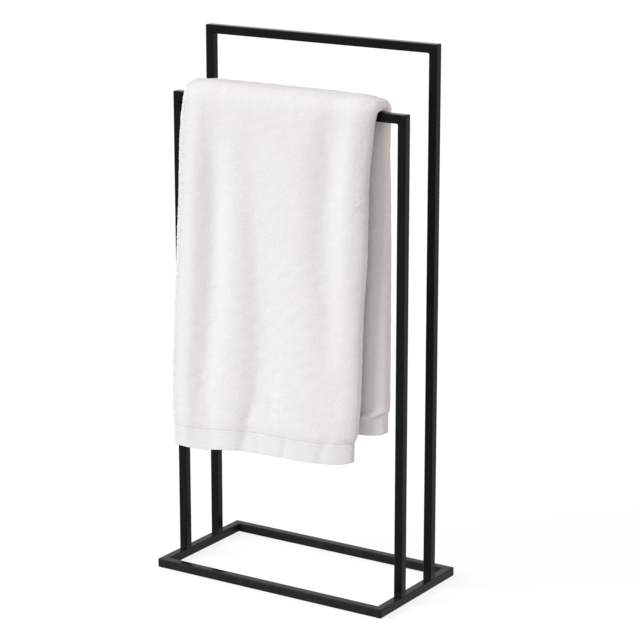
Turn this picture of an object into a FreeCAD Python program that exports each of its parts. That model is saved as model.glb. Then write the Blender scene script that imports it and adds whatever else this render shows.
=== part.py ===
import FreeCAD, Part
import math
import os

# A freestanding towel stand of square steel tube: a flat rectangular base and two upright towel
# frames, the rear one taller, with a towel hung over the front bar.
# Millimetres. +X is to the right, +Y to the rear and +Z up. The origin is on the floor under the
# middle of the base.

V = FreeCAD.Vector

# ---- driving dimensions ----
BASE_WIDTH = 450.0           # outside, along X
BASE_DEPTH = 240.0           # outside, along Y
FRONT_HEIGHT = 820.0         # floor to the top of the front bar
REAR_HEIGHT = 920.0          # floor to the top of the rear bar
FRAME_SPACING = 95.0         # from the front frame's middle plane to the rear one's

TUBE = 15.0                  # outside width of the square tube
WALL = 1.5
TUBE_CORNER = 1.5            # outside corner radius of the tube
BORE_CORNER = 0.5            # inside corner radius of the tube
GROUND_CORNER = 2.5          # rounding left by grinding the welded corners
WELD_FILLET = 3.0            # concave weld inside each upper corner of a towel frame
FOOT_CHAMFER = 0.5           # broken edge round the foot of an upright

PAD_RADIUS = 5.0
PAD_THICKNESS = 1.0

PLUG_HEIGHT = 12.0           # threaded plug in the foot of an upright
THREAD_RADIUS = 2.68         # M6 at its pitch diameter
SCREW_LENGTH = 14.0          # under the head
SCREW_CLEARANCE_RADIUS = 3.2 # hole in the rail's top wall
HEAD_RADIUS = 5.0
HEAD_HEIGHT = 6.0
HEAD_CHAMFER = 0.5
HEX_ACROSS_FLATS = 5.0
HEX_DEPTH = 3.0
WASHER_RADIUS = 5.5
WASHER_THICKNESS = 1.6
ACCESS_RADIUS = 5.7          # hole in the rail's bottom wall that lets the screw in

# Towel, folded in half lengthwise, with the fold to the right.
TOWEL_WIDTH = 368.0          # across the folded towel
TOWEL_FRONT_DROP = 590.0     # from the bar's axis down to the front hem, at mid-width
TOWEL_REAR_DROP = 541.0
TOWEL_CLEARANCE = 0.5        # between the towel and the frame
TOWEL_TOP_THICKNESS = 27.0   # both layers and the air between them, over the bar
TOWEL_HEM_THICKNESS = 18.0
TOWEL_CENTRE = -9.0          # X of the towel's middle where it crosses the bar
TOWEL_FRONT_LEAN = -32.0     # how far the front drop's middle has moved in X at its hem
TOWEL_LEAN_POWER = 0.6       # most of that lean is near the bar
TOWEL_REAR_LEAN = 4.0
TOWEL_FRONT_HEM_SLOPE = 0.069
TOWEL_REAR_HEM_SLOPE = 0.045
TOWEL_FOLD_DEPTH = 0.075     # bulge of each fold as a share of its width, at its deepest
TOWEL_FOLD_FADE = 0.25       # share of that bulge left where the towel bends over the bar
# The folds' edges across the front, from the towel's left side: ridges and valleys by turns.
TOWEL_FOLD_EDGES = [14.0, 38.0, 70.0, 116.0, 172.0, 266.0, 318.0, 354.0]

# ---- worked out from them ----
HALF_WIDTH = BASE_WIDTH / 2
HALF_DEPTH = BASE_DEPTH / 2
BORE = TUBE - 2 * WALL
BASE_TOP = PAD_THICKNESS + TUBE
UPRIGHT_X = HALF_WIDTH - TUBE / 2
FRONT_Y = -FRAME_SPACING / 2
REAR_Y = FRAME_SPACING / 2
SCREW_BEARING = BASE_TOP - WALL - WASHER_THICKNESS
BAR_AXIS_Z = FRONT_HEIGHT - TUBE / 2


def rounded_square(width, corner):
    """A face in the XY plane: a square about the origin with rounded corners."""
    half = width / 2
    flat = half - corner
    bend = flat + corner * math.sqrt(0.5)
    edges = []
    for turn in range(4):
        spin = FreeCAD.Rotation(V(0, 0, 1), 90 * turn)
        side_start = spin.multVec(V(half, -flat, 0))
        side_end = spin.multVec(V(half, flat, 0))
        corner_middle = spin.multVec(V(bend, bend, 0))
        corner_end = spin.multVec(V(flat, half, 0))
        edges.append(Part.LineSegment(side_start, side_end).toShape())
        edges.append(Part.Arc(side_end, corner_middle, corner_end).toShape())
    return Part.Face(Part.Wire(edges))


def tube(length):
    """Hollow square tube along +Z from the origin."""
    shell = rounded_square(TUBE, TUBE_CORNER).extrude(V(0, 0, length))
    bore = rounded_square(BORE, BORE_CORNER).extrude(V(0, 0, length))
    return shell.cut(bore)


def level_blank(start, end):
    """A level tube from start to end, along X or along Y."""
    blank = tube((end - start).Length)
    blank.Placement = FreeCAD.Placement(start, FreeCAD.Rotation(V(0, 0, 1), end - start))
    return blank


def prism(points, depth):
    """The polygon through the points, extruded by the vector depth."""
    return Part.Face(Part.makePolygon(points + points[:1])).extrude(depth)


def cylinder(radius, x, y, bottom, top):
    return Part.makeCylinder(radius, top - bottom, V(x, y, bottom))


# ---- base ----
def base_outline():
    """The base's outside as one block, with its four upright edges ground round."""
    block = Part.makeBox(BASE_WIDTH, BASE_DEPTH, TUBE, V(-HALF_WIDTH, -HALF_DEPTH, PAD_THICKNESS))
    corners = [e for e in block.Edges if abs(e.Vertexes[0].Z - e.Vertexes[1].Z) > TUBE / 2]
    return block.makeFillet(GROUND_CORNER, corners)


def base_rail(side_x, side_y):
    """One rail, mitred at both ends. side_x or side_y is -1 or 1, and the other is 0."""
    middle_z = PAD_THICKNESS + TUBE / 2
    if side_y:
        y = side_y * (HALF_DEPTH - TUBE / 2)
        blank = level_blank(V(-HALF_WIDTH, y, middle_z), V(HALF_WIDTH, y, middle_z))
        outer = side_y * HALF_DEPTH
        inner = side_y * (HALF_DEPTH - TUBE)
        mitre = [V(-HALF_WIDTH, outer, 0), V(HALF_WIDTH, outer, 0),
                 V(HALF_WIDTH - TUBE, inner, 0), V(-HALF_WIDTH + TUBE, inner, 0)]
    else:
        x = side_x * (HALF_WIDTH - TUBE / 2)
        blank = level_blank(V(x, -HALF_DEPTH, middle_z), V(x, HALF_DEPTH, middle_z))
        outer = side_x * HALF_WIDTH
        inner = side_x * (HALF_WIDTH - TUBE)
        mitre = [V(outer, -HALF_DEPTH, 0), V(outer, HALF_DEPTH, 0),
                 V(inner, HALF_DEPTH - TUBE, 0), V(inner, -HALF_DEPTH + TUBE, 0)]
    return blank.common(prism(mitre, V(0, 0, BASE_TOP))).common(base_outline())


def drilled_side_rail(side_x):
    """A side rail with the two screws' clearance holes on top and their access holes below."""
    rail = base_rail(side_x, 0)
    for y in (FRONT_Y, REAR_Y):
        x = side_x * UPRIGHT_X
        rail = rail.cut(cylinder(SCREW_CLEARANCE_RADIUS, x, y, BASE_TOP - 2 * WALL, BASE_TOP + WALL))
        rail = rail.cut(cylinder(ACCESS_RADIUS, x, y, 0, PAD_THICKNESS + 2 * WALL))
    return rail


# ---- towel frames ----
def frame_outline(y, height):
    """A towel frame's outside as one block, with its two upper corners ground round."""
    block = Part.makeBox(BASE_WIDTH, TUBE, height - BASE_TOP, V(-HALF_WIDTH, y - TUBE / 2, BASE_TOP))
    corners = []
    for edge in block.Edges:
        ends = edge.Vertexes
        at_top = min(v.Z for v in ends) > height - 1
        if at_top and abs(ends[0].Y - ends[1].Y) > TUBE / 2:
            corners.append(edge)
    return block.makeFillet(GROUND_CORNER, corners)


def chamfered_block(x, y, height):
    """The upright's outside as one block, with the chamfer round its foot."""
    half = TUBE / 2
    box = Part.makeBox(TUBE, TUBE, height - BASE_TOP, V(x - half, y - half, BASE_TOP))
    foot_edges = [e for e in box.Edges if max(v.Z for v in e.Vertexes) < BASE_TOP + 1]
    return box.makeChamfer(FOOT_CHAMFER, foot_edges)


def upright(side_x, y, height):
    """An upright, mitred at the top, with a broken edge round its square-cut foot."""
    x = side_x * UPRIGHT_X
    blank = tube(height - BASE_TOP)
    blank.translate(V(x, y, BASE_TOP))
    outer = side_x * HALF_WIDTH
    inner = side_x * (HALF_WIDTH - TUBE)
    front = y - TUBE / 2
    mitre = prism([V(outer, front, BASE_TOP), V(outer, front, height),
                   V(inner, front, height - TUBE), V(inner, front, BASE_TOP)], V(0, TUBE, 0))
    return blank.common(mitre).common(frame_outline(y, height)).common(chamfered_block(x, y, height))


def weld_fillet(side_x, y, height):
    """The concave weld in the inner corner between the bar and an upright."""
    corner_x = side_x * (HALF_WIDTH - TUBE)
    corner_z = height - TUBE
    reach_x = corner_x - side_x * WELD_FILLET
    reach_z = corner_z - WELD_FILLET
    weld_length = TUBE - 2 * TUBE_CORNER
    start_y = y - weld_length / 2
    bow = WELD_FILLET * (1 - math.sqrt(0.5))
    corner = V(corner_x, start_y, corner_z)
    on_bar = V(reach_x, start_y, corner_z)
    on_upright = V(corner_x, start_y, reach_z)
    hollow = V(corner_x - side_x * bow, start_y, corner_z - bow)
    edges = [Part.LineSegment(corner, on_bar).toShape(),
             Part.Arc(on_bar, hollow, on_upright).toShape(),
             Part.LineSegment(on_upright, corner).toShape()]
    return Part.Face(Part.Wire(edges)).extrude(V(0, weld_length, 0))


def top_bar(y, height):
    """A towel bar, mitred at both ends, with the two inner welds."""
    z = height - TUBE / 2
    blank = level_blank(V(-HALF_WIDTH, y, z), V(HALF_WIDTH, y, z))
    front = y - TUBE / 2
    mitre = prism([V(-HALF_WIDTH, front, height), V(HALF_WIDTH, front, height),
                   V(HALF_WIDTH - TUBE, front, height - TUBE),
                   V(-HALF_WIDTH + TUBE, front, height - TUBE)], V(0, TUBE, 0))
    bar = blank.common(mitre).common(frame_outline(y, height))
    for side_x in (-1, 1):
        bar = bar.fuse(weld_fillet(side_x, y, height))
    return bar.removeSplitter()


# ---- knock-down joints and pads ----
def thread_plug(x, y):
    """Square plug in an upright's foot, flush with its end and threaded right through."""
    block = rounded_square(BORE, BORE_CORNER).extrude(V(0, 0, PLUG_HEIGHT))
    block.translate(V(x, y, BASE_TOP))
    return block.cut(cylinder(THREAD_RADIUS, x, y, BASE_TOP, BASE_TOP + PLUG_HEIGHT))


def washer(x, y):
    ring = cylinder(WASHER_RADIUS, x, y, SCREW_BEARING, SCREW_BEARING + WASHER_THICKNESS)
    return ring.cut(cylinder(SCREW_CLEARANCE_RADIUS, x, y, SCREW_BEARING, BASE_TOP))


def frame_screw(x, y):
    """Socket-head screw, head down, with its hexagon socket open to below."""
    head_bottom = SCREW_BEARING - HEAD_HEIGHT
    head = cylinder(HEAD_RADIUS, x, y, head_bottom, SCREW_BEARING)
    rim = [e for e in head.Edges if e.Closed and abs(e.Vertexes[0].Z - head_bottom) < 0.01]
    head = head.makeChamfer(HEAD_CHAMFER, rim)
    shank = cylinder(THREAD_RADIUS, x, y, SCREW_BEARING, SCREW_BEARING + SCREW_LENGTH)
    corner_radius = HEX_ACROSS_FLATS / math.sqrt(3)
    corners = [V(x + corner_radius * math.cos(math.radians(60 * i)),
                 y + corner_radius * math.sin(math.radians(60 * i)), head_bottom) for i in range(6)]
    return head.fuse(shank).removeSplitter().cut(prism(corners, V(0, 0, HEX_DEPTH)))


def floor_pad(side_x, side_y):
    x = side_x * (HALF_WIDTH - TUBE / 2)
    y = side_y * (HALF_DEPTH - TUBE / 2)
    return cylinder(PAD_RADIUS, x, y, 0, PAD_THICKNESS)


# ---- towel ----
def arc_run(points):
    """Arcs through the points taken in threes, each sharing its end with the next one's start."""
    return [Part.Arc(points[i], points[i + 1], points[i + 2]).toShape() for i in range(0, len(points) - 2, 2)]


def towel_section(place, centre_x, inner, outer, bulge):
    """One closed section across the towel.

    place turns (x, r) into a point, where r is the distance out from the bar's axis. inner and
    outer are that distance on the towel's two sides. The inner side is straight, both ends are
    round, and the outer side has the folds, each an arc whose height is bulge times its width.
    """
    left = centre_x - TOWEL_WIDTH / 2
    end_radius = (outer - inner) / 2
    middle = (outer + inner) / 2
    bend = end_radius * math.sqrt(0.5)
    edges_x = list(TOWEL_FOLD_EDGES)
    edges_x[0] = end_radius
    edges_x[-1] = TOWEL_WIDTH - end_radius
    folds = [place(left + edges_x[0], outer)]
    for index, (start, end) in enumerate(zip(edges_x, edges_x[1:])):
        side = 1 if index % 2 == 0 else -1
        folds.append(place(left + (start + end) / 2, outer + side * bulge * (end - start)))
        folds.append(place(left + end, outer))
    right_x = left + edges_x[-1]
    left_x = left + edges_x[0]
    right_end = [place(right_x, outer), place(right_x + bend, middle + bend),
                 place(right_x + end_radius, middle), place(right_x + bend, middle - bend),
                 place(right_x, inner)]
    left_end = [place(left_x, inner), place(left_x - bend, middle - bend),
                place(left_x - end_radius, middle), place(left_x - bend, middle + bend),
                place(left_x, outer)]
    inner_side = Part.LineSegment(place(right_x, inner), place(left_x, inner)).toShape()
    return Part.Wire(arc_run(folds) + arc_run(right_end) + [inner_side] + arc_run(left_end))


def towel():
    """The folded towel as one closed solid: the front drop, the bend over the bar and the rear drop."""
    half = TUBE / 2
    flat_inner = half + TOWEL_CLEARANCE
    corner_reach = (half - TUBE_CORNER) * math.sqrt(2) + TUBE_CORNER + TOWEL_CLEARANCE

    def drop_section(share, front):
        length = TOWEL_FRONT_DROP if front else TOWEL_REAR_DROP
        slope = TOWEL_FRONT_HEM_SLOPE if front else TOWEL_REAR_HEM_SLOPE
        lean = TOWEL_FRONT_LEAN * share ** TOWEL_LEAN_POWER if front else TOWEL_REAR_LEAN * share
        centre_x = TOWEL_CENTRE + lean
        side = -1 if front else 1
        thickness = TOWEL_TOP_THICKNESS + (TOWEL_HEM_THICKNESS - TOWEL_TOP_THICKNESS) * share
        bulge = TOWEL_FOLD_DEPTH * (TOWEL_FOLD_FADE + (1 - TOWEL_FOLD_FADE) * math.sin(math.pi * share / 1.3))

        def place(x, r):
            return V(x, FRONT_Y + side * r, BAR_AXIS_Z - share * (length - slope * (x - centre_x)))

        return towel_section(place, centre_x, flat_inner, flat_inner + thickness, bulge)

    def bend_section(degrees, inner):
        angle = math.radians(degrees)

        def place(x, r):
            return V(x, FRONT_Y - r * math.cos(angle), BAR_AXIS_Z + r * math.sin(angle))

        return towel_section(place, TOWEL_CENTRE, inner, flat_inner + TOWEL_TOP_THICKNESS,
                             TOWEL_FOLD_DEPTH * TOWEL_FOLD_FADE)

    front = [drop_section(share, True) for share in (1.0, 0.75, 0.5, 0.25, 0.0)]
    bend = [bend_section(0, flat_inner), bend_section(45, corner_reach), bend_section(90, flat_inner),
            bend_section(135, corner_reach), bend_section(180, flat_inner)]
    rear = [drop_section(share, False) for share in (0.0, 0.25, 0.5, 0.75, 1.0)]
    lofts = [Part.makeLoft(sections, True, False, False, 3) for sections in (front, bend, rear)]
    return lofts[0].multiFuse(lofts[1:])


# ---- all sub-parts ----
CORNERS = {"front_left": (-1, -1), "front_right": (1, -1), "rear_left": (-1, 1), "rear_right": (1, 1)}
FRAMES = {"front": (FRONT_Y, FRONT_HEIGHT), "rear": (REAR_Y, REAR_HEIGHT)}

parts = {
    "base_front_rail": base_rail(0, -1),
    "base_rear_rail": base_rail(0, 1),
    "base_left_rail": drilled_side_rail(-1),
    "base_right_rail": drilled_side_rail(1),
    "towel": towel(),
}
for frame_name, (frame_y, frame_height) in FRAMES.items():
    parts[frame_name + "_left_upright"] = upright(-1, frame_y, frame_height)
    parts[frame_name + "_right_upright"] = upright(1, frame_y, frame_height)
    parts[frame_name + "_top_bar"] = top_bar(frame_y, frame_height)
for corner_name, (corner_x, corner_y) in CORNERS.items():
    joint_x = corner_x * UPRIGHT_X
    joint_y = corner_y * REAR_Y
    parts[corner_name + "_thread_plug"] = thread_plug(joint_x, joint_y)
    parts[corner_name + "_washer"] = washer(joint_x, joint_y)
    parts[corner_name + "_frame_screw"] = frame_screw(joint_x, joint_y)
    parts[corner_name + "_floor_pad"] = floor_pad(corner_x, corner_y)

os.makedirs("parts", exist_ok=True)
for node, shape in parts.items():
    assert shape.isValid() and len(shape.Solids) == 1, node
    shape.exportStep("parts/" + node + ".step")
    box = shape.BoundBox
    print(f"{node:26s} {shape.Volume / 1000:9.2f} cm3  X {box.XMin:8.2f} {box.XMax:8.2f}"
          f"  Y {box.YMin:8.2f} {box.YMax:8.2f}  Z {box.ZMin:7.2f} {box.ZMax:7.2f}")
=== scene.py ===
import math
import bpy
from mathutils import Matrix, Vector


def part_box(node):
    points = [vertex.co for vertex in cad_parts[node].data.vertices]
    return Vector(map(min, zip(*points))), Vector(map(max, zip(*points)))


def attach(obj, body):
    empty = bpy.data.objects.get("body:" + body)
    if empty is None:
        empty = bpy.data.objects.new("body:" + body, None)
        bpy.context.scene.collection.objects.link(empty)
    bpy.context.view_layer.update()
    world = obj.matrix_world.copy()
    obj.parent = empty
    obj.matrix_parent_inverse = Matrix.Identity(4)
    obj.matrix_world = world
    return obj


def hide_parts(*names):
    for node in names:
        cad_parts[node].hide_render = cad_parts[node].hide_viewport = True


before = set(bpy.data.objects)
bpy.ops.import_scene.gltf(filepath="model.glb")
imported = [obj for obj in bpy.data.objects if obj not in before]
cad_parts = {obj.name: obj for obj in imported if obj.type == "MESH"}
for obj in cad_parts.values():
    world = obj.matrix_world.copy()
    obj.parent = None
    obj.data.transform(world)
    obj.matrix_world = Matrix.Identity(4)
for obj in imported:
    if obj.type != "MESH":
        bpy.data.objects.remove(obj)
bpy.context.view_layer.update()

# A freestanding towel stand of black square steel tube, with a white terry towel over its front bar.
# The steel comes from the CAD model and gets its finishes here. The towel is one sheet of terry,
# folded in half lengthwise and worked out with numpy. X is to the right, Y to the rear and Z up.
# The towel is worked out in millimetres, and its points become metres when its meshes are made.

from types import SimpleNamespace

import bpy
import numpy as np
from mathutils import Matrix, Vector

MM = 0.001


# ---- camera ----
VIEW_AZIMUTH = 32.807
VIEW_ELEVATION = 14.615
CAMERA_PLACE = (2.157074, -3.299553, 1.473772)
CAMERA_LENS = 137.276            # mm, and the width of its sensor
SENSOR_WIDTH = 36.0


def add_camera():
    """The photograph's viewpoint: level horizon, looking down on the stand from its front right."""
    turn = math.radians(VIEW_AZIMUTH)
    tilt = math.radians(VIEW_ELEVATION)
    back = Vector((math.sin(turn) * math.cos(tilt), -math.cos(turn) * math.cos(tilt), math.sin(tilt)))
    right = Vector((math.cos(turn), math.sin(turn), 0))
    up = back.cross(right)
    data = bpy.data.cameras.new("camera")
    data.sensor_width = SENSOR_WIDTH
    data.lens = CAMERA_LENS
    data.clip_start = 0.1
    data.clip_end = 100
    camera = bpy.data.objects.new("camera", data)
    camera.matrix_world = Matrix.Translation(CAMERA_PLACE) @ Matrix((right, up, back)).transposed().to_4x4()
    bpy.context.scene.collection.objects.link(camera)
    bpy.context.scene.camera = camera


# ---- the towel as it was cut, in millimetres ----
CLOTH_ALONG = 1200.0             # flat length, from the front hem over the bar to the rear hem
CURL_ACROSS = 22.0               # flat widths of the four stretches of the folded towel's section:
OUTER_ACROSS = 342.0             # its curled left edge, its outer layer,
FOLD_ACROSS = 18.0               # the fold on its right
INNER_ACROSS = 338.0             # and its inner layer
CLOTH_ACROSS = CURL_ACROSS + OUTER_ACROSS + FOLD_ACROSS + INNER_ACROSS

TERRY_HALF = 3.1                 # half the cloth's thickness with its pile
BAND_HALF = 1.3                  # half the thickness of the woven hem bands
BAND_HEIGHT = 34.0
SELVAGE_WIDTH = 5.0

# ---- the towel as it hangs, in millimetres ----
bar_low, bar_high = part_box("front_top_bar")
BAR_HALF = (bar_high.y - bar_low.y) / 2 / MM
BAR_Y = (bar_high.y + bar_low.y) / 2 / MM
BAR_Z = bar_high.z / MM - BAR_HALF

FRONT_DROP = 590.0               # from the bar's axis down to the front hem, at mid-width
REAR_DROP = 541.0
BEND = CLOTH_ALONG - FRONT_DROP - REAR_DROP
LINE_CLEARANCE = 0.5             # from the bar to the cloth on it
CORNER_LIFT = 2.485              # how much further out the cloth passes over the bar's corners

# Along the cloth, from its front hem at 0 to its rear hem at 1200: the places of its two edges in X,
# the thickness of the folded towel at its right end, how wide the slope down to that end is and how
# steep it is at its foot (degrees), and how far its right side swings in towards the bar's plane.
LEFT_EDGE = [(0, -227.5), (114, -225.5), (210, -221.0), (290, -215.4), (387, -209), (413, -207),
             (531, -201), (565, -197.5), (592, -192.5), (625, -189), (900, -183), (1200, -182)]
RIGHT_EDGE = [(0, 139.2), (46, 141.2), (96, 145.8), (131, 147.5), (237, 150.8), (291, 153.9), (344, 158),
              (397, 159.8), (450, 161), (494, 163.2), (531, 167.3), (590, 175.7), (625, 182.6),
              (660, 182.6), (720, 181), (800, 182), (930, 182.5), (1200, 181.5)]
END_THICKNESS = [(0, 12.5), (200, 15.5), (350, 16.5), (530, 18), (590, 19), (625, 19.5), (665, 18.5),
                 (740, 17), (1200, 16)]
SLOPE_WIDTH = [(0, 62), (100, 56), (200, 44), (350, 38), (530, 32), (590, 32), (625, 40), (665, 34),
               (1200, 44)]
SLOPE_ANGLE = [(0, 17), (100, 19), (200, 24), (350, 26), (530, 28), (590, 28), (625, 14), (665, 26),
               (1200, 34)]
SWING = [(0, 4.5), (300, 4), (480, 2), (560, 0.4), (570, 0), (680, 0), (800, -4), (1200, -8)]
SWING_WIDTH = 50.0
SWING_POWER = 2.3

# The folded towel's thickness in its middle and at its left end, where the drops start, and how much
# thinner it is at the top of the bend, at the drops' lower ends and in the bands.
MIDDLE_THICKNESS = 27.0
LEFT_THICKNESS = 22.5
TOP_THINNING = 1.7
MIDDLE_DROP_THINNING = 6.5
LEFT_DROP_THINNING = 7.0
BAND_THINNING = 1.5
LEFT_BAND_THINNING = 1.0

# How far in the ends of the bands lie from the terry above them, and over what height they step in.
LEFT_INSET = 2.0
FRONT_RIGHT_INSET = 6.5
REAR_RIGHT_INSET = 3.4
INSET_LAP = 1.0                  # how far below the band's top the step starts
FRONT_INSET_STEP = 17.0
REAR_INSET_STEP = 7.0

CURL_SHARE = 0.46                # the curl's radius as a share of the left end's thickness
CURL_TURN = 128.0                # degrees, and how much that varies along the cloth
CURL_TURN_CHANGE = 10.0
INNER_END = 20.0                 # from the left end to the inner layer's selvage, and how much that varies
INNER_END_CHANGE = 5.0
LEFT_BLEND = 34.0                # width over which the left end's thickness becomes the middle's
LUMP_HEIGHT = 0.16               # of the soft unevenness of the terry
LUMP_SIZE = 21.0

# How far each hem rises from the level of the drop's end, across the folded towel.
FRONT_HEM = [(0, -13.5), (68, -11), (108, -4.8), (158, -1), (208, 1.2), (278, 2.8), (318, 5.6),
             (342, 8.5), (368, 15.5)]
REAR_HEM = [(0, -9), (180, 0), (300, 5.5), (340, 8.6), (354, 12), (370, 24)]

# Valleys of the front drop: (share of the drop, place across) points, half-widths on the left and
# on the right, and (share of the drop, depth) points.
FRONT_VALLEYS = [
    ([(0.00, 66), (0.12, 72), (0.30, 75), (0.60, 77), (0.80, 70), (1.00, 64)], 18, 21,
     [(-0.10, 0.2), (0.00, 1.6), (0.08, 5.0), (0.22, 10.2), (0.60, 9.8), (0.85, 6.6), (1.00, 2.0)]),
    ([(0.00, 141), (0.20, 151), (0.40, 165), (0.60, 177), (0.80, 178), (0.95, 166), (1.00, 160)], 19, 34,
     [(0.00, 0.6), (0.12, 2.6), (0.35, 6.0), (0.60, 8.4), (0.80, 8.6), (0.92, 6.0), (1.00, 3.0)]),
    ([(0.00, 300), (0.15, 299), (0.30, 296), (0.45, 304), (0.60, 317), (0.75, 321), (1.00, 320)], 20, 23,
     [(-0.08, 1.0), (0.02, 5.4), (0.10, 8.6), (0.30, 9.0), (0.55, 6.8), (0.75, 3.4), (1.00, 0.8)]),
]

# Gentle folds of the rear drop, whose outer side the photograph doesn't show.
REAR_VALLEYS = [
    ([(0.00, 92), (0.50, 84), (1.00, 100)], 17, 22, [(0.00, 1.0), (0.15, 5.4), (0.70, 7.8), (1.00, 3.6)]),
    ([(0.00, 205), (0.50, 214), (1.00, 202)], 24, 17, [(0.00, 0.6), (0.30, 6.0), (0.75, 7.6), (1.00, 3.2)]),
    ([(0.00, 300), (0.50, 305), (1.00, 296)], 15, 18, [(0.00, 1.2), (0.12, 5.2), (0.60, 5.6), (1.00, 2.4)]),
]

# Small creases of the front drop: (place across, height above the hem) of both ends, half-width and
# depth.
CREASES = [
    ((140, -5), (162, 84), 6.5, 2.3),
    ((180, 0), (170, 44), 4.0, 0.9),
    ((227, -5), (235, 40), 4.0, 1.5),
    ((299, -5), (311, 44), 5.5, 1.8),
    ((38, 4), (44, 48), 4.5, 0.9),
    ((84, 8), (78, 84), 7.0, 1.2),
    ((326, 40), (336, 150), 7.0, 0.9),
    ((204, 60), (212, 150), 6.0, 0.8),
]
CREASE_SKEW = 1.3                # a crease's half-width on its right side is so many times its left one
CREASE_FADES = (14.0, 40.0)      # heights over which its lower and its upper end fade

# The valleys of both drops run out over the bend, between these turns of the cloth (degrees), and
# leave the two ends of the outer layer plain.
FRONT_RUN_OUT = 150.0
REAR_RUN_OUT = 60.0
RUN_OUT_TURN = 110.0
LEFT_PLAIN = 18.0
RIGHT_PLAIN = 16.0

# The terry of the rear drop's inner layer rolls over its band near the fold.
ROLL_HEIGHT = 42.0               # above the hem, at the fold
ROLL_SLOPE = 0.4
ROLL_DEPTH = 5.0
ROLL_HALF_WIDTHS = (2.4, 6.0)    # below and above its line
ROLL_FADES = (8.0, 14.0)         # widths over which it starts at the fold and ends at its reach
ROLL_REACH = 38.0                # how far in from the fold
ROLL_SAG = 8.0                   # how far down over the band the terry comes there
SAG_HALF_WIDTHS = (16.0, 5.0)

RIM = [0.0, 0.12, 0.45, 0.95, 1.6, 2.6]      # stations that round the cloth's edges


def ease(x):
    """0 up to x = 0, 1 from x = 1, and the curve 3x^2 - 2x^3 between them."""
    x = np.clip(x, 0, 1)
    return x * x * (3 - 2 * x)


def follow(points, at):
    """A smooth curve through (place, value) points.

    It is made of cubic pieces whose slope at a point is the mean of the chords' slopes on its two sides.
    """
    places, values = np.array(points, float).T
    chords = np.diff(values) / np.diff(places)
    slopes = np.concatenate([chords[:1], (chords[:-1] + chords[1:]) / 2, chords[-1:]])
    at = np.clip(at, places[0], places[-1])
    k = np.clip(np.searchsorted(places, at) - 1, 0, len(places) - 2)
    span = places[k + 1] - places[k]
    t = (at - places[k]) / span
    return ((1 + 2 * t) * (1 - t) ** 2 * values[k] + t * (1 - t) ** 2 * span * slopes[k]
            + t * t * (3 - 2 * t) * values[k + 1] + t * t * (t - 1) * span * slopes[k + 1])


def bell(x, left, right):
    """A bell curve about 0, exp(-x^2 / 2w^2), whose half-widths w differ on its two sides."""
    return np.exp(-0.5 * (x / np.where(x < 0, left, right)) ** 2)


def unevenness(u, v, wavelength, seed, waves=14):
    """A gentle random surface of height about 1: the sum of plane waves in random directions."""
    rng = np.random.default_rng(seed)
    total = 0
    for angle, phase, stretch in zip(rng.uniform(0, math.pi, waves), rng.uniform(0, 2 * math.pi, waves),
                                     rng.uniform(0.7, 1.6, waves)):
        k = 2 * math.pi / (wavelength * stretch)
        total = total + np.sin(k * (u * math.cos(angle) + v * math.sin(angle)) + phase)
    return total * math.sqrt(2 / waves)


def stations():
    """Distances along the cloth from its front hem, closer together in the bands and at the hems."""
    band = np.concatenate([RIM, np.linspace(6, 30, 13), [31.6, 32.8, 34.0, 35.2, 36.6, 38.6, 41.5, 45.5]])
    body = np.linspace(50.5, CLOTH_ALONG - 50.5, 220)
    return np.concatenate([band, body, CLOTH_ALONG - band[::-1]])[:, None]


def columns():
    """For each column of the cloth: its stretch of the section, how far along it, and its flat place.

    Stretch 0 is the left edge's curl, 1 the outer layer, 2 the fold on the right and 3 the inner layer.
    """
    rim = np.array(RIM)
    curl = np.concatenate([rim / CURL_ACROSS, np.linspace(0.2, 0.94, 8)])
    outer = np.linspace(0, 1, 84)
    fold = np.linspace(0.08, 0.92, 11)
    inner = np.concatenate([np.linspace(0, 0.975, 45), 1 - rim[::-1] / INNER_ACROSS])
    shares = [curl, outer, fold, inner]
    lengths = np.array([CURL_ACROSS, OUTER_ACROSS, FOLD_ACROSS, INNER_ACROSS])
    starts = np.cumsum(lengths) - lengths
    stretch = np.repeat(np.arange(4), [len(share) for share in shares])
    share = np.concatenate(shares)
    return stretch[None], share[None], (starts[stretch] + lengths[stretch] * share)[None]


def terry_half_thickness(from_hem, from_selvage, sag=0.0):
    """Half the cloth's thickness: terry, thinner in the bands and selvages, and round at every edge.

    The terry swells a little just above a band, and comes down over it by its sag.
    """
    inside = ease((from_selvage - SELVAGE_WIDTH) / 3.0)
    terry = ease((from_hem - BAND_HEIGHT + sag + 1.5) / 6.0) * inside
    puff = 0.25 * bell(from_hem - BAND_HEIGHT + sag - 7, 3.5, 9) * inside
    half = BAND_HALF + (TERRY_HALF - BAND_HALF) * terry + puff
    edge = np.clip(np.minimum(from_hem, from_selvage) / half, 0, 1)
    return half * np.sqrt(1 - (1 - edge) ** 2)


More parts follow.
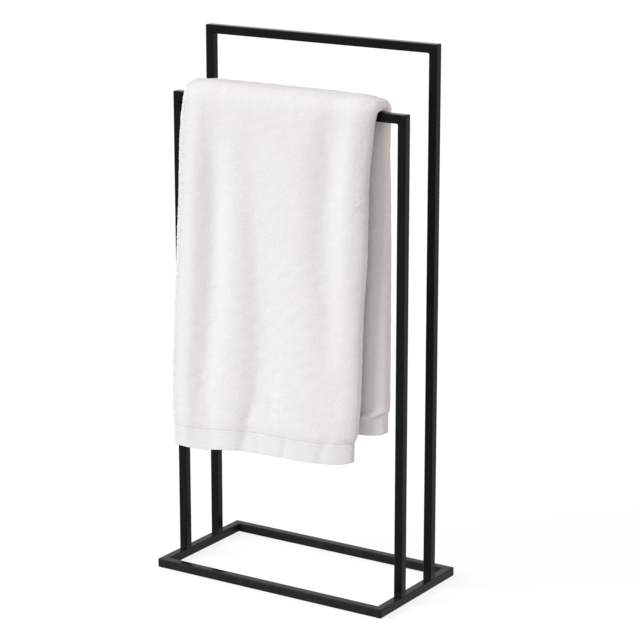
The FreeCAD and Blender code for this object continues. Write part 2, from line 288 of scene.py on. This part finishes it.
def hanging(along):
    """The folded towel's size and place at each station along the cloth."""
    hang = SimpleNamespace()
    hang.down_front = (FRONT_DROP - along) / FRONT_DROP            # 1 at the front hem, 0 at the bar's axis
    hang.down_rear = (along - FRONT_DROP - BEND) / REAR_DROP       # 1 at the rear hem, 0 at the bar's axis
    hang.turn = np.clip((along - FRONT_DROP) / BEND, 0, 1) * math.pi
    hang.from_hem = np.minimum(along, CLOTH_ALONG - along)
    hang.above_rear_hem = CLOTH_ALONG - along
    front_band = 1 - ease((along - BAND_HEIGHT + INSET_LAP) / FRONT_INSET_STEP)
    rear_band = 1 - ease((hang.above_rear_hem - BAND_HEIGHT + INSET_LAP) / REAR_INSET_STEP)
    band = front_band + rear_band
    drop = np.maximum(np.maximum(hang.down_front, hang.down_rear), 0)
    hang.left = follow(LEFT_EDGE, along) + LEFT_INSET * band
    right = follow(RIGHT_EDGE, along) - FRONT_RIGHT_INSET * front_band - REAR_RIGHT_INSET * rear_band
    hang.width = right - hang.left
    hang.thickness = (MIDDLE_THICKNESS - TOP_THINNING * np.sin(hang.turn) ** 2
                      - MIDDLE_DROP_THINNING * drop - BAND_THINNING * band)
    hang.left_thickness = LEFT_THICKNESS - LEFT_DROP_THINNING * drop - LEFT_BAND_THINNING * band
    hang.end_thickness = follow(END_THICKNESS, along) - BAND_THINNING * band
    hang.slope_width = follow(SLOPE_WIDTH, along)
    hang.slope_angle = np.radians(follow(SLOPE_ANGLE, along))
    hang.swing = follow(SWING, along)
    hang.half = terry_half_thickness(np.maximum(hang.from_hem, 3.0), 50.0)
    hang.selvage_wave = unevenness(along, 0, 160, 5, 5)
    return hang


def curl(hang, share):
    """The left edge, an arc from inside the folded towel out round its left end to the outer layer."""
    outer_radius = hang.left_thickness * CURL_SHARE
    radius = outer_radius - hang.half
    turn = math.radians(CURL_TURN) + math.radians(CURL_TURN_CHANGE) * hang.selvage_wave
    angle = math.pi / 2 - (1 - share) * turn
    return outer_radius - radius * np.cos(angle), hang.left_thickness - outer_radius + radius * np.sin(angle)


def outer_layer(hang, share, along):
    """The outer layer: thick in its middle, with valleys and creases, sloping down to the fold.

    The slope is depth * q^p, where q runs from 0 to 1 over its width, and p makes it meet the fold's
    arc at the given angle.
    """
    start = hang.left_thickness * CURL_SHARE
    end_radius = hang.end_thickness / 2
    fold_radius = end_radius - hang.half
    end = hang.width - end_radius + fold_radius * np.sin(hang.slope_angle)
    s = start + share * (end - start)
    depth = hang.thickness - hang.half - end_radius - fold_radius * np.cos(hang.slope_angle)
    power = hang.slope_width * np.tan(hang.slope_angle) / depth
    slope = depth * np.clip(1 - (end - s) / hang.slope_width, 0, 1) ** power
    left = (hang.thickness - hang.left_thickness) * (1 - ease((s - start) / LEFT_BLEND))

    front = ease((math.radians(FRONT_RUN_OUT) - hang.turn) / math.radians(RUN_OUT_TURN))
    rear = ease((hang.turn - math.radians(REAR_RUN_OUT)) / math.radians(RUN_OUT_TURN))
    relief = 0
    for centre, wide_left, wide_right, depths in FRONT_VALLEYS:
        valley = bell(s - follow(centre, hang.down_front), wide_left, wide_right)
        relief = relief - front * follow(depths, hang.down_front) * valley
    for centre, wide_left, wide_right, depths in REAR_VALLEYS:
        valley = bell(s - follow(centre, hang.down_rear), wide_left, wide_right)
        relief = relief - rear * follow(depths, hang.down_rear) * valley
    for (low_s, low), (high_s, high), wide, crease_depth in CREASES:
        run = np.clip((along - low) / (high - low), 0, 1)
        ends = ease((along - low) / CREASE_FADES[0] + 0.5) * ease((high - along) / CREASE_FADES[1] + 0.5)
        crease = bell(s - low_s - (high_s - low_s) * run, wide, wide * CREASE_SKEW)
        relief = relief - crease_depth * ends * crease
    window = ease((s - start) / LEFT_PLAIN) * ease((end - s) / RIGHT_PLAIN)
    return s, hang.thickness - left - slope - hang.half + relief * window


def fold(hang, share):
    """The fold on the right: an arc from the outer layer's slope round to the inner layer."""
    end_radius = hang.end_thickness / 2
    radius = end_radius - hang.half
    angle = hang.slope_angle + share * (math.pi - hang.slope_angle)
    return hang.width - end_radius + radius * np.sin(angle), end_radius + radius * np.cos(angle)


def inner_layer(hang, share):
    """The inner layer, straight across from the fold to just short of the curl, with its roll."""
    start = hang.width - hang.end_thickness / 2
    s = start + share * (INNER_END + INNER_END_CHANGE * hang.selvage_wave - start)
    from_right = start - s
    line = ROLL_HEIGHT - ROLL_SLOPE * from_right
    window = ease(from_right / ROLL_FADES[0]) * (1 - ease((from_right - ROLL_REACH) / ROLL_FADES[1]))
    return s, hang.half - ROLL_DEPTH * bell(hang.above_rear_hem - line, *ROLL_HALF_WIDTHS) * window


def hang_towel():
    """The middle surface of the hung cloth, with its half-thickness and flat coordinates.

    A section across the folded towel is given by a place s from its left end and a distance r out
    from the bar. The sections go up the front drop, half round the bar and down at the rear.
    """
    along = stations()
    stretch, share, across = columns()
    hang = hanging(along)
    pieces = [curl(hang, share), outer_layer(hang, share, along), fold(hang, share), inner_layer(hang, share)]
    s, r = (np.choose(stretch, [piece[axis] for piece in pieces]) for axis in (0, 1))
    r = r - hang.swing * np.clip((s - hang.width + SWING_WIDTH) / SWING_WIDTH, 0, 1) ** SWING_POWER
    r = r + BAR_HALF + LINE_CLEARANCE + CORNER_LIFT * np.sin(2 * hang.turn) ** 2

    lower = np.maximum(hang.down_front, 0) * (FRONT_DROP - follow(FRONT_HEM, s))
    lower = lower + np.maximum(hang.down_rear, 0) * (REAR_DROP - follow(REAR_HEM, s))
    x = hang.left + s
    y = BAR_Y - r * np.cos(hang.turn)
    z = BAR_Z + r * np.sin(hang.turn) - lower

    cloth = SimpleNamespace(middle=np.stack([x, y, z], -1), across=across[0], along=along[:, 0])
    cloth.from_selvage = np.minimum(across, CLOTH_ACROSS - across)
    cloth.from_hem = hang.from_hem
    from_fold = across - CURL_ACROSS - OUTER_ACROSS - FOLD_ACROSS
    sag = ROLL_SAG * bell(from_fold - ROLL_REACH, *SAG_HALF_WIDTHS) * (along > CLOTH_ALONG / 2)
    cloth.half = terry_half_thickness(cloth.from_hem, cloth.from_selvage, sag)
    cloth.pile = (ease((cloth.from_hem - BAND_HEIGHT + sag) / 4)
                  * ease((cloth.from_selvage - SELVAGE_WIDTH) / 3))
    cloth.normal = surface_normals(cloth.middle)
    lumps = LUMP_HEIGHT * unevenness(across, along, LUMP_SIZE, 3, 18)
    cloth.outside = cloth.middle + cloth.normal * (cloth.half + cloth.pile * lumps)[..., None]
    cloth.inside = cloth.middle - cloth.normal * cloth.half[..., None]
    return cloth


def surface_normals(points):
    """Unit normals of a grid of points, from the cross product of its two directions."""
    return unit(np.cross(np.gradient(points, axis=1), np.gradient(points, axis=0)))


def mesh_object(name, points, faces, material, smooth=True):
    """A mesh piece in metres from points in millimetres."""
    mesh = bpy.data.meshes.new(name)
    mesh.from_pydata((points * MM).tolist(), [], faces)
    mesh.polygons.foreach_set("use_smooth", np.full(len(mesh.polygons), smooth))
    mesh.materials.append(material)
    piece = bpy.data.objects.new(name, mesh)
    bpy.context.scene.collection.objects.link(piece)
    return piece


def face_grid(index):
    """Quads between the neighbouring entries of the last two directions of a table of vertex numbers."""
    quads = [index[..., :-1, :-1], index[..., :-1, 1:], index[..., 1:, 1:], index[..., 1:, :-1]]
    return np.stack(quads, -1).reshape(-1, 4)


def add_cloth(cloth, material):
    """The towel: two skins half a thickness each side of the middle surface, which share their rim."""
    rows, count = cloth.half.shape
    outer_index = np.arange(rows * count).reshape(rows, count)
    inner_index = outer_index.copy()
    inner_index[1:-1, 1:-1] = rows * count + np.arange((rows - 2) * (count - 2)).reshape(rows - 2, count - 2)

    def both(values):
        values = values.reshape(rows, count, -1)
        size = values.shape[-1]
        return np.concatenate([values.reshape(-1, size), values[1:-1, 1:-1].reshape(-1, size)])

    points = both(cloth.outside)
    points[rows * count:] = cloth.inside[1:-1, 1:-1].reshape(-1, 3)
    faces = np.concatenate([face_grid(outer_index), face_grid(inner_index)[:, ::-1]])
    towel = mesh_object("towel_cloth", points, faces.tolist(), material)

    flat = np.stack(np.meshgrid(cloth.across, cloth.along), -1) * MM
    vertex = np.zeros(len(towel.data.loops), int)
    towel.data.loops.foreach_get("vertex_index", vertex)
    towel.data.uv_layers.new(name="cloth").data.foreach_set("uv", both(flat)[vertex].ravel())
    pile = towel.data.attributes.new("pile", "FLOAT", "POINT")
    pile.data.foreach_set("value", both(cloth.pile).ravel())
    return towel


def on_cloth(cloth, values, across, along):
    """What the cloth's grid holds, such as its points, at flat places on it."""
    row = np.interp(along, cloth.along, np.arange(len(cloth.along)))
    column = np.interp(across, cloth.across, np.arange(len(cloth.across)))
    i = np.minimum(row.astype(int), len(cloth.along) - 2)
    j = np.minimum(column.astype(int), len(cloth.across) - 2)
    a = (row - i)[..., None]
    b = (column - j)[..., None]
    lower = values[i, j] * (1 - b) + values[i, j + 1] * b
    upper = values[i + 1, j] * (1 - b) + values[i + 1, j + 1] * b
    return lower * (1 - a) + upper * a


def unit(vectors):
    """The same directions at length 1."""
    return vectors / np.maximum(np.linalg.norm(vectors, axis=-1, keepdims=True), 1e-9)


def add_tubes(name, spine, direction, side, radius, sides, material):
    """Many short tubes, closed at both ends.

    Each has a ring of points across its direction at every point of its spine.
    """
    angle = np.arange(sides)[:, None] * 2 * math.pi / sides
    ring = side[:, :, None] * np.cos(angle) + np.cross(direction, side)[:, :, None] * np.sin(angle)
    points = spine[:, :, None] + ring * radius[:, None, None]
    index = np.arange(points.size // 3).reshape(points.shape[:3])
    walls = face_grid(np.concatenate([index, index[:, :, :1]], 2))
    faces = walls.tolist() + index[:, 0, ::-1].tolist() + index[:, -1].tolist()
    return mesh_object(name, points.reshape(-1, 3), faces, material)


STITCH_PITCH = 4.2
STITCH_LENGTH = 3.0
STITCH_RADIUS = 0.33
STITCH_LINE = 31.5               # from the hem to the row of stitches that closes it
STITCH_MARGIN = 7.0              # from a side of the cloth to its first stitch
STITCH_LIFT = 0.18               # of a stitch's middle above the cloth, and how much lower its ends are
STITCH_DIP = 0.4


def add_stitches(cloth, name, line, material):
    """One row of stitches across a hem band: small rounded beads of thread, one per stitch.

    A bead is a ring swept along its length, whose radius is a fourth-power dome of the distance
    from its middle, and it dips into the cloth at both ends.
    """
    row = np.full(len(cloth.across), line)
    run = on_cloth(cloth, cloth.outside, cloth.across, row)
    length = np.concatenate([[0], np.cumsum(np.linalg.norm(np.diff(run, axis=0), axis=1))])
    local = np.linspace(-0.5, 0.5, 7)
    starts = np.arange(STITCH_MARGIN, length[-1] - STITCH_MARGIN, STITCH_PITCH)
    at = starts[:, None] + local * STITCH_LENGTH
    across = np.interp(at, length, cloth.across)
    up = unit(on_cloth(cloth, cloth.normal, across, np.full(across.shape, line)))
    spine = on_cloth(cloth, cloth.outside, across, np.full(across.shape, line))
    direction = unit(np.gradient(spine, axis=1))
    side = unit(np.cross(up, direction))
    radius = STITCH_RADIUS * (1 - (2 * abs(local) * 0.97) ** 4) ** 0.5
    spine = spine + up * (STITCH_LIFT - STITCH_DIP * (2 * local) ** 4)[:, None]
    return add_tubes(name, spine, direction, side, radius, 6, material)


LOOP_PITCH = 2.6
LOOP_HEIGHT = 0.7
LOOP_SPREAD = 0.95               # half the distance between a loop's two feet
YARN_RADIUS = 0.36
LOOP_SHARE = 0.40                # of the loops that stand out, where most do
LOOP_FADE = 22.0                 # how far in from a zone's sides they thin out
LOOP_SHIFT = 0.9                 # the most that a loop stands off its grid
LOOP_SINK = 0.3                  # how deep its feet are in the cloth
LOOP_SIZES = (0.75, 1.15)


def add_loops(cloth, name, across_zone, along_zone, seed, material):
    """The terry's longer loops, one by one, in a zone of the cloth where its pile is seen from the side.

    A loop is a half-ellipse arch of yarn in the plane of the cloth's normal and a random direction
    along the cloth. The loops stand on a grid with random shifts, and thin out towards the zone's sides.
    """
    rng = np.random.default_rng(seed)
    across, along = (places.ravel() for places in np.meshgrid(np.arange(*across_zone, LOOP_PITCH),
                                                              np.arange(*along_zone, LOOP_PITCH)))
    middle = np.array([sum(across_zone), sum(along_zone)]) / 2
    reach = np.array([across_zone[1], along_zone[1]]) - middle
    away = np.abs(np.stack([across, along], -1) - middle)
    chance = np.prod(ease((reach - away) / np.minimum(reach, LOOP_FADE)), -1)
    kept = rng.uniform(size=across.size) < LOOP_SHARE * chance
    shift = rng.uniform(-LOOP_SHIFT, LOOP_SHIFT, (2, across.size))
    across = (across + shift[0])[kept]
    along = (along + shift[1])[kept]
    up = unit(on_cloth(cloth, cloth.normal, across, along))
    level = unit(np.cross(up, rng.normal(size=up.shape)))
    size = rng.uniform(*LOOP_SIZES, (len(up), 1, 1))
    turn = np.linspace(0, math.pi, 6)[:, None]
    rise = LOOP_HEIGHT * size * np.sin(turn) - LOOP_SINK
    foot = on_cloth(cloth, cloth.outside, across, along)
    spine = foot[:, None] + level[:, None] * LOOP_SPREAD * np.cos(turn) + up[:, None] * rise
    direction = unit(np.gradient(spine, axis=1))
    side = np.broadcast_to(np.cross(level, up)[:, None], spine.shape)
    return add_tubes(name, spine, direction, side, np.full(6, YARN_RADIUS), 3, material)


# ---- finishes ----
class Amount:
    """A number that varies over a surface. Arithmetic on it adds Math nodes."""

    def __init__(self, finish, socket):
        self.finish = finish
        self.socket = socket

    def math(self, operation, first, second=0.0):
        node = self.finish.node("Math", {"operation": operation}, {0: first, 1: second})
        return Amount(self.finish, node.outputs[0])

    def __add__(self, other):
        return self.math("ADD", self, other)

    def __sub__(self, other):
        return self.math("SUBTRACT", self, other)

    def __rsub__(self, other):
        return self.math("SUBTRACT", other, self)

    def __mul__(self, other):
        return self.math("MULTIPLY", self, other)

    __radd__ = __add__
    __rmul__ = __mul__

    def sine(self):
        return self.math("SINE", self)

    def ease(self, low, high):
        """0 below low, 1 above high and a smooth step between them."""
        node = self.finish.node("MapRange", {"interpolation_type": "SMOOTHSTEP"},
                                {"Value": self, "From Min": low, "From Max": high})
        return Amount(self.finish, node.outputs[0])


class Finish:
    """A procedural material, or the world's light, and the one way in which a node is added to it."""

    def __init__(self, owner):
        self.owner = owner
        owner.use_nodes = True
        self.tree = owner.node_tree
        self.tree.nodes.clear()

    def node(self, kind, settings=None, sockets=None):
        """Add a node: its settings first, then its inputs by name or number, as values or links."""
        node = self.tree.nodes.new("ShaderNode" + kind)
        for key, value in (settings or {}).items():
            setattr(node, key, value)
        for key, value in (sockets or {}).items():
            if isinstance(value, Amount):
                value = value.socket
            if isinstance(value, bpy.types.NodeSocket):
                self.tree.links.new(value, node.inputs[key])
            else:
                node.inputs[key].default_value = value
        return node

    def place(self, output="Object"):
        return self.node("TexCoord").outputs[output]

    def parts(self, vector):
        """The three numbers of a vector."""
        return [Amount(self, socket) for socket in self.node("SeparateXYZ", None, {0: vector}).outputs]

    def stretched(self, place, stretch):
        return self.node("Mapping", {"vector_type": "POINT"}, {"Vector": place, "Scale": stretch}).outputs[0]

    def noise(self, place, scale, detail=2.0, roughness=0.5):
        """Noise around 0.5, at so many features to the metre."""
        node = self.node("TexNoise", None, {"Vector": place, "Scale": scale, "Detail": detail,
                                            "Roughness": roughness})
        return Amount(self, node.outputs[0])

    def cells(self, place, scale, randomness=1.0):
        """Distance to the nearest of many scattered points, in cells."""
        node = self.node("TexVoronoi", {"feature": "SMOOTH_F1"},
                         {"Vector": place, "Scale": scale, "Randomness": randomness})
        return Amount(self, node.outputs[0])

    def mix(self, share, first, second):
        """A colour between two colours."""
        return self.node("Mix", {"data_type": "RGBA"}, {0: share, 6: first, 7: second}).outputs[2]

    def bump(self, height, distance, strength=1.0, under=None):
        sockets = {"Height": height, "Distance": distance, "Strength": strength}
        if under is not None:
            sockets["Normal"] = under
        return self.node("Bump", None, sockets).outputs[0]

    def surface(self, **sockets):
        named = {key.replace("_", " "): value for key, value in sockets.items()}
        shader = self.node("BsdfPrincipled", None, named)
        self.node("OutputMaterial", None, {"Surface": shader.outputs[0]})
        return self.owner


def black_powder_coat():
    """Satin black powder coat with a faint orange peel: smoother where towels rub, and lighter on the base,
    partly with dust and partly with a painted reflection.
    """
    finish = Finish(bpy.data.materials.new("black_powder_coat_finish"))
    place = finish.place()
    peel = finish.noise(place, 620, 2.0, 0.55)
    grain = finish.noise(place, 2400, 1.0)
    cloud = finish.noise(place, 22, 3.0)
    height = finish.parts(place)[2]
    upward = finish.parts(finish.node("NewGeometry").outputs["Normal"])[2].ease(0.6, 0.95)
    rubbed = upward * height.ease(0.75, 0.8)
    # Lighter below 16 to 30 mm, on the base: partly dust, partly a painted reflection that stands for the
    # sheen the base's faces catch.
    dust_and_painted_sheen = (1 - height.ease(0.016, 0.030)) * (0.30 + finish.noise(place, 90, 4.0).ease(0.3, 0.8) * 0.35)
    colour = finish.mix(cloud.ease(0.3, 0.7), (0.0036, 0.0035, 0.0038, 1), (0.0052, 0.0050, 0.0054, 1))
    # The base's colour goes lighter grey there: dust, and a painted reflection on its faces.
    colour = finish.mix(dust_and_painted_sheen, colour, (0.034, 0.032, 0.031, 1))
    rough = 0.30 + (cloud - 0.5) * 0.08 + (grain - 0.5) * 0.08
    rough = rough - rubbed * 0.06 - upward * 0.13 + dust_and_painted_sheen * 0.03
    normal = finish.bump(peel, 0.00005, 0.5)
    normal = finish.bump(grain, 0.00001, 0.5, normal)
    return finish.surface(Base_Color=colour, Roughness=rough, Normal=normal, Specular_IOR_Level=0.085)


def zinc_plated_steel():
    """Bright zinc with a soft cloudy passivation and faint turning marks."""
    finish = Finish(bpy.data.materials.new("zinc_plated_steel_finish"))
    place = finish.place()
    cloud = finish.noise(place, 180, 3.0)
    marks = finish.noise(finish.stretched(place, (1, 1, 6)), 1500, 1.0)
    colour = finish.mix(cloud.ease(0.3, 0.7), (0.56, 0.58, 0.62, 1), (0.68, 0.67, 0.63, 1))
    rough = 0.28 + (cloud - 0.5) * 0.16 + (marks - 0.5) * 0.10
    return finish.surface(Base_Color=colour, Roughness=rough, Metallic=1.0,
                          Normal=finish.bump(marks, 0.00002, 0.5))


def plain_steel():
    """Turned mild steel, grey, with darker oiled patches."""
    finish = Finish(bpy.data.materials.new("plain_steel_finish"))
    place = finish.place()
    cloud = finish.noise(place, 120, 4.0)
    marks = finish.noise(finish.stretched(place, (0.3, 0.3, 4)), 1800, 1.0)
    colour = finish.mix(cloud.ease(0.35, 0.7), (0.33, 0.33, 0.34, 1), (0.20, 0.19, 0.18, 1))
    rough = 0.42 + (cloud - 0.5) * 0.2 + (marks - 0.5) * 0.12
    return finish.surface(Base_Color=colour, Roughness=rough, Metallic=1.0,
                          Normal=finish.bump(marks, 0.00003, 0.6))


def pad_rubber():
    """Moulded grey-black rubber with a fine matt grain."""
    finish = Finish(bpy.data.materials.new("pad_rubber_finish"))
    place = finish.place()
    grain = finish.noise(place, 2600, 2.0)
    cloud = finish.noise(place, 150, 3.0)
    colour = finish.mix(cloud.ease(0.3, 0.7), (0.012, 0.012, 0.013, 1), (0.024, 0.023, 0.022, 1))
    return finish.surface(Base_Color=colour, Roughness=0.75 + (grain - 0.5) * 0.15,
                          Normal=finish.bump(grain, 0.00004, 0.5), Specular_IOR_Level=0.2)


RIB_PITCH = 0.0042               # m, of the bands' weave along the cloth and across it
THREAD_PITCH = 0.0009


def towel_terry():
    """White cotton terry: loops in loose rows with soft clumps, and a fine ribbed weave in the bands."""
    finish = Finish(bpy.data.materials.new("towel_terry_finish"))
    place = finish.place("UV")
    pile = Amount(finish, finish.node("Attribute", {"attribute_name": "pile"}).outputs["Fac"])
    loops = finish.cells(finish.stretched(place, (1, 0.85, 1)), 540, 0.75)
    clumps = finish.noise(place, 330, 2.0, 0.6)
    nap = finish.noise(place, 26, 2.0)
    across, along = finish.parts(place)[:2]
    weave = 0.5 + (along * (2 * math.pi / RIB_PITCH)).sine() * 0.5
    weave = weave + (across * (2 * math.pi / THREAD_PITCH)).sine() * 0.25
    height = pile * (clumps * 0.6 - loops * 0.9) + (1 - pile) * weave * 0.22
    # The hollows between the loops are darkened in colour: painted shade.
    painted_hollow_shade = pile * loops.ease(0.25, 0.75) * 0.35
    colour = finish.mix(nap.ease(0.3, 0.7), (0.900, 0.893, 0.890, 1), (0.884, 0.876, 0.873, 1))
    colour = finish.mix(painted_hollow_shade, colour, (0.760, 0.747, 0.742, 1))
    colour = finish.mix((1 - pile) * 0.8, colour, (0.862, 0.856, 0.854, 1))
    # A thin dark line where the pile ends at a band's top: a painted shadow under the ends of the loops.
    edge = pile.ease(0.01, 0.15) * (1 - pile.ease(0.3, 0.85))
    colour = finish.mix(edge * 0.5, colour, (0.640, 0.620, 0.610, 1))
    normal = finish.bump(height, 0.0011, 0.6)
    return finish.surface(Base_Color=colour, Roughness=0.95, Normal=normal, Specular_IOR_Level=0.15,
                          Sheen_Weight=0.12, Sheen_Roughness=0.6)


def white_thread():
    """Twisted white polyester thread."""
    finish = Finish(bpy.data.materials.new("white_thread_finish"))
    place = finish.place()
    twist = finish.noise(place, 2200, 1.0)
    colour = finish.mix(twist.ease(0.3, 0.7), (0.90, 0.898, 0.895, 1), (0.82, 0.816, 0.812, 1))
    return finish.surface(Base_Color=colour, Roughness=0.6, Normal=finish.bump(twist, 0.0001, 0.5),
                          Specular_IOR_Level=0.3)


# ---- studio ----
AMBIENT = 0.515
AMBIENT_TINT = (1.0, 0.90, 0.875, 1)
KEY_STRENGTH = 2.08
KEY_TINT = (0.895, 0.968, 0.995)
KEY_FROM = (-0.55, -0.59, 0.48)
KEY_SPREAD = 36.0                # degrees across the lamp, as the stand sees it
FILL_STRENGTH = 0.60
FILL_TINT = (1.0, 0.95, 0.935)
FILL_FROM = (0.90, 0.30, 0.15)
FILL_SPREAD = 40.0
FLOOR_GLOW = 0.62                # share of the floor's seen white that is its own
FLOOR_GLOW_STRENGTH = 1.28
FLOOR_RADIUS = 14000.0           # mm


def seen_directly(finish):
    """1 for the rays that show the background itself: from the camera, in gloss and through glass."""
    path = finish.node("LightPath")
    seen = Amount(finish, path.outputs["Is Camera Ray"])
    for name in ("Is Glossy Ray", "Is Transmission Ray"):
        seen = seen.math("MAXIMUM", seen, Amount(finish, path.outputs[name]))
    return seen


def add_studio():
    """A white world, a white floor that keeps a soft shadow, and two wide lamps.

    The key lamp is up at the front left and the weak fill lamp low at the right rear.
    """
    world = bpy.data.worlds.new("studio")
    bpy.context.scene.world = world
    light = Finish(world)
    seen = seen_directly(light)
    tint = light.mix(seen, AMBIENT_TINT, (1, 1, 1, 1))
    background = light.node("Background", None, {"Color": tint, "Strength": seen * (1 - AMBIENT) + AMBIENT})
    light.node("OutputWorld", None, {"Surface": background.outputs[0]})

    finish = Finish(bpy.data.materials.new("studio_floor_finish"))
    faint = finish.noise(finish.place(), 3, 2.0)
    tone = finish.mix(faint, (0.80, 0.80, 0.80, 1), (0.82, 0.82, 0.82, 1))
    paint = finish.node("BsdfDiffuse", None, {"Color": tone})
    glow = finish.node("Emission", None, {"Color": (1, 1, 1, 1), "Strength": FLOOR_GLOW_STRENGTH})
    share = finish.node("MixShader", None, {0: seen_directly(finish) * FLOOR_GLOW, 1: paint.outputs[0],
                                            2: glow.outputs[0]})
    finish.node("OutputMaterial", None, {"Surface": share.outputs[0]})
    ring = np.arange(64) * 2 * math.pi / 64
    points = FLOOR_RADIUS * np.stack([np.cos(ring), np.sin(ring), np.zeros(64)], -1)
    mesh_object("studio_floor", points, [list(range(64))], finish.owner, smooth=False)

    add_lamp("key", KEY_STRENGTH, KEY_TINT, KEY_FROM, KEY_SPREAD)
    add_lamp("fill", FILL_STRENGTH, FILL_TINT, FILL_FROM, FILL_SPREAD)


def add_lamp(name, strength, tint, come_from, spread):
    """A far wide lamp, so many degrees across as the stand sees it."""
    data = bpy.data.lights.new(name, "SUN")
    data.energy = strength
    data.color = tint
    data.angle = math.radians(spread)
    lamp = bpy.data.objects.new(name, data)
    lamp.rotation_euler = Vector(come_from).to_track_quat("Z", "Y").to_euler()
    bpy.context.scene.collection.objects.link(lamp)


# ---- making the model ----
add_camera()
add_studio()

FINISHES = {
    "black_powder_coat": black_powder_coat(),
    "zinc_plated_steel": zinc_plated_steel(),
    "plain_steel": plain_steel(),
    "pad_rubber": pad_rubber(),
    "towel_terry": towel_terry(),
}
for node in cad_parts.values():
    for material_slot in node.material_slots:
        material_slot.material = FINISHES[material_slot.material.name.split(".")[0]]

cloth = hang_towel()
thread = white_thread()
towel = add_cloth(cloth, FINISHES["towel_terry"])
trimmings = [
    add_stitches(cloth, "front_hem_stitches", STITCH_LINE, thread),
    add_stitches(cloth, "rear_hem_stitches", CLOTH_ALONG - STITCH_LINE, thread),
    add_loops(cloth, "left_edge_loops", (4, 32), (38, 640), 11, thread),
    add_loops(cloth, "right_fold_loops", (340, 388), (420, 660), 12, thread),
]
for piece in [towel] + trimmings:
    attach(piece, "hung_towel")
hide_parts("towel")

bpy.context.scene.view_settings.view_transform = "Standard"
